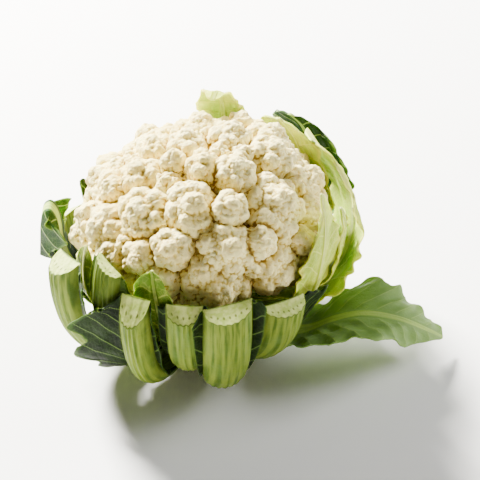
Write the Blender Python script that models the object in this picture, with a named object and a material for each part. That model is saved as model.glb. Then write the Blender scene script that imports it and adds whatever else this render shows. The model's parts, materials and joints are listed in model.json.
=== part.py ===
"""A trimmed cauliflower, standing on the cut face of its stem.

The curd is a low dome of florets, each a cluster of knobs, on a turned core. Three whorls of leaves grow
from the stem, one above the other: an outer and a middle whorl whose leaves are mostly cut to short thick
stalks, and an inner whorl of thin leaves that hug the curd. Metres, +Z up, origin at the centre of the
cut stem. Azimuth 0 is +X and 270 is the front, -Y.
"""

import math
import random
from dataclasses import dataclass, field

import bmesh
import bpy
import numpy as np
from mathutils import Vector

MM = 0.001

# The curd: widest radius, height of the crown above the widest level, height of that level
CURD_RADIUS = 80 * MM
CURD_RISE = 60 * MM
CURD_LEVEL = 84 * MM
CURD_SKEW = 0.22  # how much the crown leans towards +X

# The stem, and the clearance that neighbouring pieces keep
STEM_RADIUS = 24 * MM
STEM_TOP = 43 * MM
STEM_FOOT_BEVEL = 1.5 * MM
STEM_SIDES = 40
CONTACT_GAP = 0.4 * MM

# Florets whose places the view from the front shows: azimuth and latitude in degrees, radius in mm
FRONT_FLORETS = (
    (279, -1, 24),
    (287, 27, 19),
    (312, 0, 18),
    (327, 38, 23),
    (304, 25, 11),
    (227, 45, 20),
    (240, 19, 12),
    (255, 29, 14),
    (266, 54, 19),
    (317, 66, 14),
    (209, 23, 17),
    (192, 60, 15),
    (128, 81, 14),
    (37, 71, 15),
    (4, 53, 16),
    (281, 77, 12),
    (221, 6, 14),
    (250, 2, 14),
    (293, 49, 12),
)
FLORET_LARGEST = 21 * MM
FLORET_SMALLEST = 9 * MM
FLORET_OVERLAP = 1.25
WIDEST_GAP = 5.5 * MM
FLORET_SPREAD = 1.08
LOWEST_LATITUDE = -14
FILL_CANDIDATES = 600
GOLDEN_ANGLE = math.radians(137.50776)

# Knobs on a floret, as shares of the floret's radius
KNOB_SIZE = 0.46
KNOB_SEAT = 0.68
KNOB_TILT = math.radians(57)
KNOB_RINGS = ((15 * MM, 6), (10.5 * MM, 5), (0, 3))  # smallest floret, and knobs in the ring round its top

# Turned core under the florets: radius and height
CORE_PROFILE = (
    (0, 44),
    (19, 44),
    (38, 52),
    (57, 62),
    (64, 74),
    (65, 88),
    (57, 106),
    (38, 121),
    (18, 127),
    (0, 128),
)
CORE_SIDES = 20
CURD_GRAIN = 1.5 * MM
CURD_TRIANGLES = 10100

# Inner faces of the leaf whorls, from the stem outwards and up: radius and height in mm
OUTER_BOWL = ((24.4, 12.5), (48, 13.5), (71, 24), (83, 42), (87.5, 60), (89, 76), (88, 94))
MIDDLE_BOWL = ((24.4, 23), (47, 24.5), (66, 33), (78.5, 49), (83.5, 65), (85.5, 82), (84, 104))
INNER_BOWL = (
    (24.4, 32.5),
    (45, 33.5),
    (63, 41),
    (75.5, 55),
    (81, 70),
    (82, 84),
    (80, 99),
    (72.5, 115),
    (60, 127.5),
    (43, 137),
)
TALL_STALK_BOWL = (*MIDDLE_BOWL[:5], (84.5, 80), (82.5, 94), (77.5, 107))
UPRIGHT_BOWL = (*INNER_BOWL[:5], (82.5, 84), (82.5, 98), (80.5, 112), (77, 125))
SECOND_PALE_BOWL = (*INNER_BOWL[:3], (76.5, 54.5), (84, 68), (86.5, 82), (86.5, 94), (84, 103))
HUGGING_BOWL = (*INNER_BOWL[:5], (82.5, 84), (81, 98), (77.5, 110), (71.5, 121))
HOOD_BOWL = (*INNER_BOWL[:7], (75.5, 115), (67.5, 129), (56, 138.5), (43, 141))
LIGHT_WRAPPER_BOWL = (*MIDDLE_BOWL[:3], (80.5, 46), (90, 58), (94.5, 72), (93.5, 87), (88, 101), (79, 112.5))
DARK_WRAPPER_BOWL = (*MIDDLE_BOWL[:4], (92, 58), (104, 70), (106, 84), (102, 98), (94, 109))
RECURVED_BOWL = (
    *MIDDLE_BOWL[:5],
    (84.5, 78),
    (86, 88),
    (89.5, 94),
    (93.8, 92),
    (96, 83),
    (97, 71),
    (98, 58),
)
DRAPING_BOWL = ((24.4, 12.5), (48, 13.5), (70, 22), (88, 34), (106, 40), (126, 35), (142, 22), (153, 8))

BLADE_THICKNESS = 1.1 * MM


@dataclass
class Leaf:
    """One leaf. Lengths are in mm, angles in degrees, and shares run from the base, 0, to the end, 1."""

    name: str
    azimuth: float
    bowl: tuple
    reach: float = 1.0  # share of the bowl's length that the leaf covers
    lean: float = 0.0  # how far the end swings round the stem
    stalk_width: tuple = (12.5, 22, 26, 27)  # whole width, evenly spaced from base to end
    stalk_depth: tuple = (9.5, 10, 10.5, 10.5)
    blade_width: tuple = (12.5, 23, 37, 44)
    flare: float = 0.0  # how steeply the blade leaves the bowl, outwards
    wave: float = 0.0  # height of the blade's waves
    waves: float = 2.0
    notch: float = 0.0  # depth of the scallops along the edge, as a share of the blade
    phase: float = 0.0
    cut_slope: float = 0.0  # drop of the cut face from its inner to its outer edge
    cut_slant: float = 0.0  # drop of the cut face from side to side
    wing_drop: float = 0.0  # how much lower the blade was cut than the stalk
    flatness: float = 0.0  # 0 curves round the stem, and large values are straight across
    lopsided: float = 0.0  # share by which the blade is wider on the left, seen from outside
    droop: float = 0.0  # how steeply the blade's end hangs down on both sides of the midrib
    round_tip: float = 0.0  # how far the corners of the end are drawn back, as a share of the length
    rows: int = 7
    colour: str = "cut_leaf"


def stub(number, azimuth, bowl, reach, **changes):
    """A leaf cut to its stalk, with a strip of blade left along each side."""
    outer = bowl is OUTER_BOWL
    settings = {
        "stalk_depth": (9.5, 10.5, 12, 12.5) if outer else (9.5, 10, 10, 9.5),
        "flare": 0.42 if outer else 0.0,
        "wave": 1.6 if outer else 0.6,
        "phase": 0.7 * number,
        "cut_slope": 0.5,
        "flatness": 0.6,
    }
    return Leaf(f"cut_leaf_{number:02d}", azimuth, bowl, reach, **{**settings, **changes})


def inner_leaf(number, azimuth, reach, half_width, bowl=INNER_BOWL, end=0.3, **changes):
    """A thin leaf of the inner whorl, with a slim midrib."""
    widest = 2 * half_width
    settings = {
        "stalk_width": (12, 14, 10, 6, 4, 3),
        "stalk_depth": (7.5, 6.0, 2.6, 2.2, 1.8, 1.2),
        "blade_width": (12, 0.55 * widest, 0.9 * widest, widest, 0.9 * widest, end * widest),
        "wave": 0.8,
        "waves": 2.5,
        "notch": 0.10,
        "phase": 1.3 * number,
        "round_tip": 0.10,
        "rows": 9,
        "colour": "inner_leaf",
    }
    return Leaf(f"inner_leaf_{number:02d}", azimuth, bowl, reach, **{**settings, **changes})


LEAVES = (
    stub(
        1,
        212,
        OUTER_BOWL,
        0.98,
        stalk_width=(12.5, 21, 24, 24),
        blade_width=(12.5, 24, 44, 48),
        cut_slope=0.7,
        cut_slant=-0.2,
        lopsided=-0.5,
    ),
    stub(
        2,
        247,
        OUTER_BOWL,
        0.96,
        stalk_width=(12.5, 18, 18, 17),
        blade_width=(12.5, 26, 50, 56, 36),
        cut_slope=1.2,
        lopsided=0.75,
        notch=0.3,
        flatness=2.5,
        rows=9,
    ),
    stub(3, 281, OUTER_BOWL, 0.95, stalk_width=(12.5, 22, 28, 28), cut_slant=-0.15, wing_drop=0.2),
    stub(4, 22, OUTER_BOWL, 0.56, cut_slant=0.2),
    stub(5, 64, OUTER_BOWL, 0.66, cut_slant=-0.2),
    stub(6, 112, OUTER_BOWL, 0.80, cut_slant=0.3),
    stub(7, 157, OUTER_BOWL, 0.76, cut_slant=-0.2, wing_drop=0.2),
    stub(
        8,
        232,
        TALL_STALK_BOWL,
        0.93,
        stalk_width=(12.5, 18, 20, 18),
        stalk_depth=(9.5, 10, 8.5, 7),
        blade_width=(12.5, 24, 36, 34),
        wave=0.0,
        cut_slant=0.4,
        wing_drop=0.5,
        lopsided=-0.5,
    ),
    stub(
        9,
        265,
        MIDDLE_BOWL,
        0.85,
        stalk_width=(12.5, 20, 22, 21),
        blade_width=(12.5, 22, 30, 31),
        cut_slope=0.9,
    ),
    stub(
        10,
        305,
        MIDDLE_BOWL,
        0.775,
        stalk_width=(12.5, 22, 28, 29),
        blade_width=(12.5, 24, 44, 56),
        cut_slope=0.6,
        cut_slant=0.12,
        lopsided=-0.55,
    ),
    stub(11, 88, MIDDLE_BOWL, 0.84, cut_slant=0.25),
    stub(12, 135, MIDDLE_BOWL, 0.76, cut_slant=-0.3),
    Leaf(
        "recurved_leaf",
        180,
        RECURVED_BOWL,
        stalk_width=(12.5, 20, 20, 16, 10, 6),
        stalk_depth=(9.5, 10, 8, 4.5, 3, 1.8),
        blade_width=(12.5, 27, 42, 42, 30, 23, 25, 44, 32),
        wave=1.0,
        waves=3,
        notch=0.12,
        droop=0.7,
        round_tip=0.06,
        rows=14,
        colour="outer_leaf",
    ),
    Leaf(
        "draping_leaf",
        334,
        DRAPING_BOWL,
        reach=0.975,
        lean=17,
        stalk_width=(12.5, 20, 16, 11, 8, 6, 4),
        stalk_depth=(9.5, 9, 7, 5, 3.6, 2.6, 1.5),
        blade_width=(12.5, 24, 48, 64, 64, 44, 12),
        flare=-0.16,
        wave=3.4,
        waves=2.6,
        notch=0.18,
        round_tip=0.03,
        flatness=3.0,
        rows=14,
        colour="outer_leaf",
    ),
    Leaf(
        "light_wrapper_leaf",
        352,
        LIGHT_WRAPPER_BOWL,
        lean=40,
        stalk_width=(12.5, 22, 24, 16, 10, 7, 4),
        stalk_depth=(9.5, 9.5, 8.5, 5, 3.4, 2.6, 1.5),
        blade_width=(12.5, 23, 36, 64, 78, 76, 44),
        wave=1.2,
        waves=3,
        notch=0.07,
        round_tip=0.10,
        rows=12,
        colour="wrapper_leaf",
    ),
    Leaf(
        "dark_wrapper_leaf",
        42,
        DARK_WRAPPER_BOWL,
        lean=12,
        stalk_width=(12.5, 22, 22, 14, 9, 6, 4),
        stalk_depth=(9.5, 9.5, 8, 4.6, 3.2, 2.4, 1.4),
        blade_width=(12.5, 23, 28, 52, 78, 78, 40),
        wave=1.6,
        waves=4,
        notch=0.12,
        phase=1.5,
        round_tip=0.10,
        rows=12,
        colour="outer_leaf",
    ),
    inner_leaf(
        1,
        323,
        1.0,
        25,
        bowl=UPRIGHT_BOWL,
        lean=13,
        wave=0.4,
        blade_width=(12.5, 17, 25, 42, 50, 40, 9),
    ),
    inner_leaf(
        2,
        354,
        1.0,
        18,
        bowl=SECOND_PALE_BOWL,
        lean=-4,
        wave=0.3,
        blade_width=(12, 17, 28, 36, 32, 11),
    ),
    inner_leaf(
        3,
        80,
        1.0,
        19,
        bowl=HOOD_BOWL,
        droop=-0.28,
        blade_width=(12, 21, 34, 38, 35, 31, 13),
        round_tip=0.05,
        rows=11,
    ),
    inner_leaf(4, 130, 0.54, 18, lean=6),
    inner_leaf(5, 164, 0.46, 15),
    inner_leaf(6, 216.5, 0.66, 17, end=0.5, wave=0.1),
    inner_leaf(7, 259, 0.68, 18, lean=-8, end=0.6),
    inner_leaf(8, 30, 1.0, 31, bowl=HUGGING_BOWL, lean=18, wave=0.4, end=0.75, lopsided=0.12),
)

COLOURS = {
    "curd": ((0.86, 0.80, 0.64), 0.62),
    "stem": ((0.68, 0.72, 0.46), 0.5),
    "cut_leaf": ((0.36, 0.47, 0.16), 0.45),
    "outer_leaf": ((0.07, 0.17, 0.05), 0.5),
    "wrapper_leaf": ((0.34, 0.48, 0.12), 0.45),
    "inner_leaf": ((0.58, 0.64, 0.22), 0.45),
}


def clear_scene():
    for obj in list(bpy.data.objects):
        bpy.data.objects.remove(obj, do_unlink=True)


def material_named(name):
    """A Principled material in this colour, made once."""
    found = bpy.data.materials.get(name)
    if found:
        return found
    colour, roughness = COLOURS[name]
    made = bpy.data.materials.new(name)
    made.use_nodes = True
    shader = made.node_tree.nodes["Principled BSDF"]
    shader.inputs["Base Color"].default_value = (*colour, 1)
    shader.inputs["Roughness"].default_value = roughness
    shader.inputs["Metallic"].default_value = 0
    made.diffuse_color = (*colour, 1)
    return made


def add_object(name, mesh, colour):
    obj = bpy.data.objects.new(name, mesh)
    bpy.context.scene.collection.objects.link(obj)
    mesh.materials.clear()
    mesh.materials.append(material_named(colour))
    return obj


def turned_mesh(name, profile, sides):
    """A closed solid turned round Z from (radius, height) points that start and end on the axis."""
    shape = bmesh.new()
    points = [shape.verts.new((radius, 0, height)) for radius, height in profile]
    edges = [shape.edges.new(pair) for pair in zip(points, points[1:])]
    bmesh.ops.spin(shape, geom=points + edges, axis=(0, 0, 1), cent=(0, 0, 0), steps=sides, angle=math.tau)
    bmesh.ops.remove_doubles(shape, verts=shape.verts, dist=0.01 * MM)
    bmesh.ops.recalc_face_normals(shape, faces=shape.faces)
    mesh = bpy.data.meshes.new(name)
    shape.to_mesh(mesh)
    shape.free()
    return mesh


def dome_point(azimuth, latitude):
    """A point of the dome that encloses the curd."""
    level_radius = CURD_RADIUS * math.cos(latitude)
    return Vector(
        (
            level_radius * math.cos(azimuth),
            level_radius * math.sin(azimuth),
            CURD_LEVEL
            + CURD_RISE * math.sin(latitude) * (1 + CURD_SKEW * math.cos(azimuth) * math.cos(latitude)),
        )
    )


def dome_normal(point):
    slope = Vector((point.x, point.y, 0)) / CURD_RADIUS**2
    slope.z = (point.z - CURD_LEVEL) / CURD_RISE**2
    return slope.normalized()


def floret_places():
    """(point on the dome, radius) of every floret: front ones, then others where most room is left."""
    places = [
        (dome_point(math.radians(azimuth), math.radians(latitude)), radius * MM)
        for azimuth, latitude, radius in FRONT_FLORETS
    ]
    lowest = math.sin(math.radians(LOWEST_LATITUDE))
    candidates = [
        dome_point(i * GOLDEN_ANGLE, math.asin(1 - (1 - lowest) * (i + 0.5) / FILL_CANDIDATES))
        for i in range(FILL_CANDIDATES)
    ]

    def room(point):
        return min((point - taken).length - radius for taken, radius in places)

    while True:
        widest = max(candidates, key=room)
        if room(widest) < WIDEST_GAP:
            return [(point, radius * FLORET_SPREAD) for point, radius in places]
        places.append((widest, min(max(room(widest) * FLORET_OVERLAP, FLORET_SMALLEST), FLORET_LARGEST)))


def knob_places(point, radius, draw):
    """(centre, radius) of the knobs of one floret: one on top, and a ring tilted outwards round it."""
    up = dome_normal(point)
    side = up.orthogonal().normalized()
    across = up.cross(side)
    base_radius = radius / (KNOB_SEAT + KNOB_SIZE)
    centre = point - up * radius
    turn = draw.uniform(0, math.tau)
    directions = [(0.0, 0.0, 1.0)]
    ring = next(count for smallest, count in KNOB_RINGS if radius > smallest)
    for i in range(ring):
        directions.append((turn + i * math.tau / ring, KNOB_TILT, draw.uniform(0.88, 1.10)))
    knobs = []
    for around, tilt, size in directions:
        around += draw.uniform(-0.16, 0.16)
        tilt += draw.uniform(-0.08, 0.08)
        sideways = side * math.cos(around) + across * math.sin(around)
        outwards = up * math.cos(tilt) + sideways * math.sin(tilt)
        knobs.append((centre + outwards * base_radius * KNOB_SEAT, base_radius * KNOB_SIZE * size))
    return centre, base_radius, knobs


def ball(mesh, centre, radius, turn):
    obj = bpy.data.objects.new("ball", mesh)
    obj.location = centre
    obj.scale = (radius,) * 3
    obj.rotation_euler = turn
    return obj


def drop_air_pockets(mesh):
    """Keeps only the largest shell: the others are closed pockets inside the solid."""
    shape = bmesh.new()
    shape.from_mesh(mesh)
    unseen = set(shape.verts)
    shells = []
    while unseen:
        shell = {unseen.pop()}
        edge_of_shell = list(shell)
        while edge_of_shell:
            vert = edge_of_shell.pop()
            fresh = {edge.other_vert(vert) for edge in vert.link_edges} - shell
            shell |= fresh
            edge_of_shell += fresh
        unseen -= shell
        shells.append(shell)
    largest = max(shells, key=len)
    crumbs = [v for shell in shells if shell is not largest for v in shell]
    bmesh.ops.delete(shape, geom=crumbs, context="VERTS")
    shape.to_mesh(mesh)
    shape.free()


def make_curd():
    """The core with every floret's base and knobs fused to it."""
    core_profile = [(r * MM, z * MM) for r, z in CORE_PROFILE]
    curd = add_object("curd", turned_mesh("curd", core_profile, CORE_SIDES), "curd")
    ball_mesh = bpy.data.meshes.new("ball")
    shape = bmesh.new()
    bmesh.ops.create_icosphere(shape, subdivisions=2, radius=1)
    shape.to_mesh(ball_mesh)
    shape.free()
    balls = bpy.data.collections.new("florets to fuse")
    bpy.context.scene.collection.children.link(balls)
    for number, (point, radius) in enumerate(floret_places()):
        draw = random.Random(number)
        centre, base_radius, knobs = knob_places(point, radius, draw)
        for ball_centre, ball_radius in [(centre, base_radius * 0.80), *knobs]:
            turn = [draw.uniform(0, math.tau) for _ in range(3)]
            balls.objects.link(ball(ball_mesh, ball_centre, ball_radius, turn))
    union = curd.modifiers.new("florets", "BOOLEAN")
    union.operation = "UNION"
    union.operand_type = "COLLECTION"
    union.collection = balls
    union.solver = "MANIFOLD"
    bpy.context.view_layer.objects.active = curd
    bpy.ops.object.modifier_apply(modifier=union.name)
    for obj in list(balls.objects):
        bpy.data.objects.remove(obj, do_unlink=True)
    bpy.data.collections.remove(balls)
    even = curd.modifiers.new("even out the creases", "REMESH")
    even.mode = "VOXEL"
    even.voxel_size = CURD_GRAIN
    bpy.ops.object.modifier_apply(modifier=even.name)
    drop_air_pockets(curd.data)
    curd.data.calc_loop_triangles()
    thin = curd.modifiers.new("thin out", "DECIMATE")
    thin.ratio = CURD_TRIANGLES / len(curd.data.loop_triangles)
    bpy.ops.object.modifier_apply(modifier=thin.name)
    curd.data.shade_smooth()
    return curd


def make_stem():
    """The stump: a flat cut face below, and a top just under the curd's core."""
    foot = STEM_RADIUS - STEM_FOOT_BEVEL
    profile = (
        (0, 0),
        (foot, 0),
        (STEM_RADIUS, STEM_FOOT_BEVEL),
        (STEM_RADIUS, 0.8 * STEM_TOP),
        (0.8 * STEM_RADIUS, STEM_TOP),
        (0, STEM_TOP),
    )
    stem = add_object("stem", turned_mesh("stem", profile, STEM_SIDES), "stem")
    stem.data.shade_smooth()
    stem.data.set_sharp_from_angle(angle=math.radians(40))
    return stem


def smooth_curve(points, spacing=0.5 * MM):
    """Points along a smooth curve through (radius, height) points, evenly spaced by length."""
    ends = [2 * points[0] - points[1], *points, 2 * points[-1] - points[-2]]
    fine = []
    for before, start, end, after in zip(ends, ends[1:], ends[2:], ends[3:]):
        for t in np.linspace(0, 1, 24, endpoint=False):
            bend = (2 * before - 5 * start + 4 * end - after) * t**2
            bend += (3 * start - before - 3 * end + after) * t**3
            fine.append(start + 0.5 * ((end - before) * t + bend))
    fine = np.array([*fine, points[-1]])
    lengths = np.concatenate([[0], np.cumsum(np.linalg.norm(np.diff(fine, axis=0), axis=1))])
    even = np.linspace(0, lengths[-1], max(2, round(lengths[-1] / spacing)))
    return np.stack([np.interp(even, lengths, fine[:, i]) for i in (0, 1)], axis=1), lengths[-1]


def along(values, share):
    """The value at a share of the way through evenly spaced values."""
    return float(np.interp(share * (len(values) - 1), range(len(values)), values))


COLUMNS = 9  # edge, mid blade, stalk edge and stalk shoulder on each side, and the middle


def step_up(value, low, high):
    """0 below low, 1 above high, and smooth between."""
    t = min(max((value - low) / (high - low), 0.0), 1.0)
    return t * t * (3 - 2 * t)


def row_offsets(leaf, share):
    """For one row of a leaf, each column's place across, its inner height off the bowl and its depth."""
    stalk = along(leaf.stalk_width, share) * MM / 2
    depth = along(leaf.stalk_depth, share) * MM
    blade = max(along(leaf.blade_width, share) * MM / 2, stalk + 0.6 * MM)
    columns = []
    for column in range(COLUMNS):
        side = math.copysign(1, column - COLUMNS // 2)
        step = abs(column - COLUMNS // 2)
        reach = blade * (1 - side * leaf.lopsided) + stalk * side * leaf.lopsided
        if step <= 2:
            across = stalk * step / 2
            bulge = math.sqrt(1 - (0.97 * step / 2) ** 2)
            columns.append((side * across, 0.0, BLADE_THICKNESS + (depth - BLADE_THICKNESS) * bulge))
            continue
        out = (step - 2) / 2
        angle = math.tau * leaf.waves * share + leaf.phase + (1.1 if side > 0 else 0)
        scallop = 1 - leaf.notch * (0.5 + 0.5 * math.sin(2.7 * angle + side)) * out
        across = stalk + (reach - stalk) * out * scallop
        slope = leaf.flare + leaf.droop * step_up(share, 0.58, 0.76)
        lift = slope * (across - stalk) + leaf.wave * MM * out * share * (1 + math.sin(angle))
        columns.append((side * across, lift, BLADE_THICKNESS))
    return columns


def leaf_mesh(leaf):
    """A closed solid: a grid on the inner face, one on the outer, and strips round the edge."""
    curve, length = smooth_curve([np.array(point) * MM for point in leaf.bowl])
    inner, outer = [], []
    for row in range(leaf.rows):
        share = row / (leaf.rows - 1)
        swing = math.radians(leaf.azimuth + leaf.lean * share**2)
        for column, (across, lift, depth) in enumerate(row_offsets(leaf, share)):
            beside = abs(column - COLUMNS // 2) / (COLUMNS // 2)
            back = leaf.round_tip * step_up(share, 0.55, 1) * beside**3
            at = round((share - back) * leaf.reach * (len(curve) - 1))
            step = min(max(at, 1), len(curve) - 2)
            tangent = curve[step + 1] - curve[step - 1]
            tangent /= np.linalg.norm(tangent)
            outward = np.array((tangent[1], -tangent[0]))
            for points, off in ((inner, lift), (outer, lift + depth)):
                place = curve[at] + outward * off
                if row == leaf.rows - 1:
                    blade_part = max(0.0, abs(across) - along(leaf.stalk_width, 1) * MM / 2)
                    drop = leaf.cut_slope * off + leaf.cut_slant * across + leaf.wing_drop * blade_part
                    place = place - tangent * drop
                curl = place[0] * (1 + leaf.flatness * share)
                turned = across / curl
                forward = place[0] - curl + curl * math.cos(turned)
                sideways = curl * math.sin(turned)
                points.append(
                    (
                        forward * math.cos(swing) - sideways * math.sin(swing),
                        forward * math.sin(swing) + sideways * math.cos(swing),
                        place[1],
                    )
                )
    shape = bmesh.new()
    inner_verts = [shape.verts.new(point) for point in inner]
    outer_verts = [shape.verts.new(point) for point in outer]

    def face(*corners):
        shape.faces.new(corners)

    for row in range(leaf.rows - 1):
        for column in range(COLUMNS - 1):
            a = row * COLUMNS + column
            b, c, d = a + 1, a + 1 + COLUMNS, a + COLUMNS
            first, second = ((a, b, c), (a, c, d)) if (row + column) % 2 else ((a, b, d), (b, c, d))
            for corners in (first, second):
                face(*(inner_verts[i] for i in corners))
                face(*(outer_verts[i] for i in reversed(corners)))
    rim = list(range(COLUMNS))
    rim += [row * COLUMNS + COLUMNS - 1 for row in range(1, leaf.rows)]
    rim += [(leaf.rows - 1) * COLUMNS + column for column in range(COLUMNS - 2, -1, -1)]
    rim += [row * COLUMNS for row in range(leaf.rows - 2, 0, -1)]
    for a, b in zip(rim, rim[1:] + rim[:1]):
        face(inner_verts[a], outer_verts[a], outer_verts[b], inner_verts[b])
    bmesh.ops.recalc_face_normals(shape, faces=shape.faces)
    mesh = bpy.data.meshes.new(leaf.name)
    shape.to_mesh(mesh)
    shape.free()
    return mesh


def make_leaf(leaf):
    obj = add_object(leaf.name, leaf_mesh(leaf), leaf.colour)
    obj.data.shade_smooth()
    obj.data.set_sharp_from_angle(angle=math.radians(50))
    return obj


def main():
    clear_scene()
    make_stem()
    make_curd()
    for leaf in LEAVES:
        make_leaf(leaf)


main()
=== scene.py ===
# %% [markdown]
# # A trimmed cauliflower
#
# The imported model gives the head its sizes: a low dome of florets, a stem, and three whorls of leaves.
# This lesson dresses that model. Each floret grows its knobs and the small beads that cover them, and each
# leaf is made again as a fine sheet with ribs, veins, puckers and a torn or cut edge. The florets and the
# leaves stay where the model has them, so their places and widths are the same numbers as there.

# %% Load the model
import json
import math
import random
from functools import partial

import bpy
import numpy as np
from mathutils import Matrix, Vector

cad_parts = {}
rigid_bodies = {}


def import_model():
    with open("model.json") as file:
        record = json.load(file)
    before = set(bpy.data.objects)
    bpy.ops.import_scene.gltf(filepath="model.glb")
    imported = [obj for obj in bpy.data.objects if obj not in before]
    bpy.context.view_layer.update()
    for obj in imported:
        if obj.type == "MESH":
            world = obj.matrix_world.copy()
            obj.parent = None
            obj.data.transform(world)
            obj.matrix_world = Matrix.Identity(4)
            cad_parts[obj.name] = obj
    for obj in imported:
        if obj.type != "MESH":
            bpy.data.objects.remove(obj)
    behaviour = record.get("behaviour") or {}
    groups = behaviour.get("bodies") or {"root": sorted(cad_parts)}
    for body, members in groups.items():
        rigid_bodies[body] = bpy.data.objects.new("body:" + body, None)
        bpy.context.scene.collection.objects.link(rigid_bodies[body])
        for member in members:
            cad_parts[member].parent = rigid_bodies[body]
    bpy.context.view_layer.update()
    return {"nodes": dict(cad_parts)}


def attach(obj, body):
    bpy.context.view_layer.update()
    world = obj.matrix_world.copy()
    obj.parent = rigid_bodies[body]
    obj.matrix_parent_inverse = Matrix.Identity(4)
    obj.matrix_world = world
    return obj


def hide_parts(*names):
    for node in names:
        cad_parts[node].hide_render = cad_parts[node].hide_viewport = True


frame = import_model()
MM = 0.001

# %% [markdown]
# ## View and light
#
# The head is seen from the front and well above, at 37 degrees. A long lens from about a metre away keeps
# the shapes calm. A bright light stands high behind the left shoulder, so the crown is bright and the lower
# florets lie in soft shade. A weak one in front and one from the right open the shadows. The floor is plain
# and pale.

# %% Camera
VIEW_HEIGHT_ANGLE = math.radians(37)
CAMERA_DISTANCE = 1.15
LENS = 142
FLOOR_SIZE = 8
LOOK_AT = Vector((0.024, 0.0, 0.068))

camera = bpy.data.objects.new("camera", bpy.data.cameras.new("camera"))
bpy.context.scene.collection.objects.link(camera)
away = Vector((0, -math.cos(VIEW_HEIGHT_ANGLE), math.sin(VIEW_HEIGHT_ANGLE)))
camera.location = LOOK_AT + away * CAMERA_DISTANCE
camera.rotation_euler = away.to_track_quat("Z", "Y").to_euler()
camera.data.lens = LENS
bpy.context.scene.camera = camera

# %% Floor
bpy.ops.mesh.primitive_plane_add(size=FLOOR_SIZE)
floor = bpy.context.object
floor.name = "floor"
paper = bpy.data.materials.new("white paper")
paper.use_nodes = True
paper.node_tree.nodes["Principled BSDF"].inputs["Base Color"].default_value = (0.93, 0.93, 0.92, 1)
paper.node_tree.nodes["Principled BSDF"].inputs["Roughness"].default_value = 0.9
floor.data.materials.append(paper)


# %% Lights
def soft_light(name, place, size, watts, colour=(1, 1, 1)):
    """A square area light that faces the head."""
    light = bpy.data.objects.new(name, bpy.data.lights.new(name, "AREA"))
    bpy.context.scene.collection.objects.link(light)
    light.data.size = size
    light.data.energy = watts
    light.data.color = colour
    light.location = place
    light.rotation_euler = (Vector(place) - LOOK_AT).to_track_quat("Z", "Y").to_euler()


soft_light("light from behind the left shoulder", (-0.85, 1.15, 1.15), 0.45, 430, (1, 0.97, 0.90))
soft_light("fill from the front", (0.5, -1.5, 0.7), 1.6, 3.5, (1, 0.84, 0.58))
soft_light("light from the right", (1.4, 0.3, 0.8), 0.8, 32)
world = bpy.context.scene.world or bpy.data.worlds.new("world")
bpy.context.scene.world = world
world.use_nodes = True
world.node_tree.nodes["Background"].inputs["Color"].default_value = (1, 1, 1, 1)
world.node_tree.nodes["Background"].inputs["Strength"].default_value = 0.11

# %% [markdown]
# ## The dome of florets
#
# A cauliflower's curd is a flat-topped dome of florets that press against each other. The model places
# the florets that the view shows one by one, and fills the rest of the dome by putting the next one where
# the most room is left. The same rule is repeated here, so each detailed floret grows from the same spot.

# %% Where the florets are
CURD_RADIUS = 80 * MM
CURD_RISE = 60 * MM
CURD_LEVEL = 84 * MM
CURD_SKEW = 0.22
FRONT_FLORETS = (  # azimuth and latitude in degrees, radius in mm
    ((279, -1), 24), ((287, 27), 19), ((312, 0), 18), ((327, 38), 23), ((304, 25), 11), ((227, 45), 20),
    ((240, 19), 12), ((255, 29), 14), ((266, 54), 19), ((317, 66), 14), ((209, 23), 17), ((192, 60), 15),
    ((128, 81), 14), ((37, 71), 15), ((4, 53), 16), ((281, 77), 12), ((221, 6), 14), ((250, 2), 14),
    ((293, 49), 12),
)
FLORET_LARGEST = 21 * MM
FLORET_SMALLEST = 9 * MM
FLORET_OVERLAP = 1.25
WIDEST_GAP = 5.5 * MM
FLORET_SPREAD = 1.08
LOWEST_LATITUDE = math.radians(-14)
FILL_CANDIDATES = 600
GOLDEN_ANGLE = math.radians(137.50776)


def dome_point(azimuth, latitude):
    """A point of the dome that encloses the curd."""
    level_radius = CURD_RADIUS * math.cos(latitude)
    skew = 1 + CURD_SKEW * math.cos(azimuth) * math.cos(latitude)
    height = CURD_LEVEL + CURD_RISE * math.sin(latitude) * skew
    return Vector((level_radius * math.cos(azimuth), level_radius * math.sin(azimuth), height))


def dome_normal(point):
    slope = Vector((point.x, point.y, 0)) / CURD_RADIUS**2
    slope.z = (point.z - CURD_LEVEL) / CURD_RISE**2
    return slope.normalized()


def spiral_over_dome(count):
    """Points spread evenly over the dome, in a sunflower spiral from its top down."""
    span = 1 - math.sin(LOWEST_LATITUDE)
    return [dome_point(i * GOLDEN_ANGLE, math.asin(1 - span * (i + 0.5) / count)) for i in range(count)]


def floret_places():
    """(point on the dome, radius) of every floret of the model."""
    places = [
        (dome_point(math.radians(azimuth), math.radians(latitude)), radius * MM)
        for (azimuth, latitude), radius in FRONT_FLORETS
    ]
    candidates = spiral_over_dome(FILL_CANDIDATES)

    def room(point):
        return min((point - taken).length - radius for taken, radius in places)

    while True:
        widest = max(candidates, key=room)
        if room(widest) < WIDEST_GAP:
            return [(point, radius * FLORET_SPREAD) for point, radius in places]
        places.append((widest, min(max(room(widest) * FLORET_OVERLAP, FLORET_SMALLEST), FLORET_LARGEST)))


florets = floret_places()
print(len(florets), "florets, the largest", round(2000 * max(r for _, r in florets)), "mm wide")

# %% Small florets in the hollows
SMALL_CANDIDATES = 4000
SMALL_ROOM = 2.4 * MM
SMALL_RADII = (6 * MM, 9.5 * MM)
SMALL_EXTRA = 4 * MM
SMALL_CLAIM = 0.8
SMALL_SUNK = 4 * MM


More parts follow.
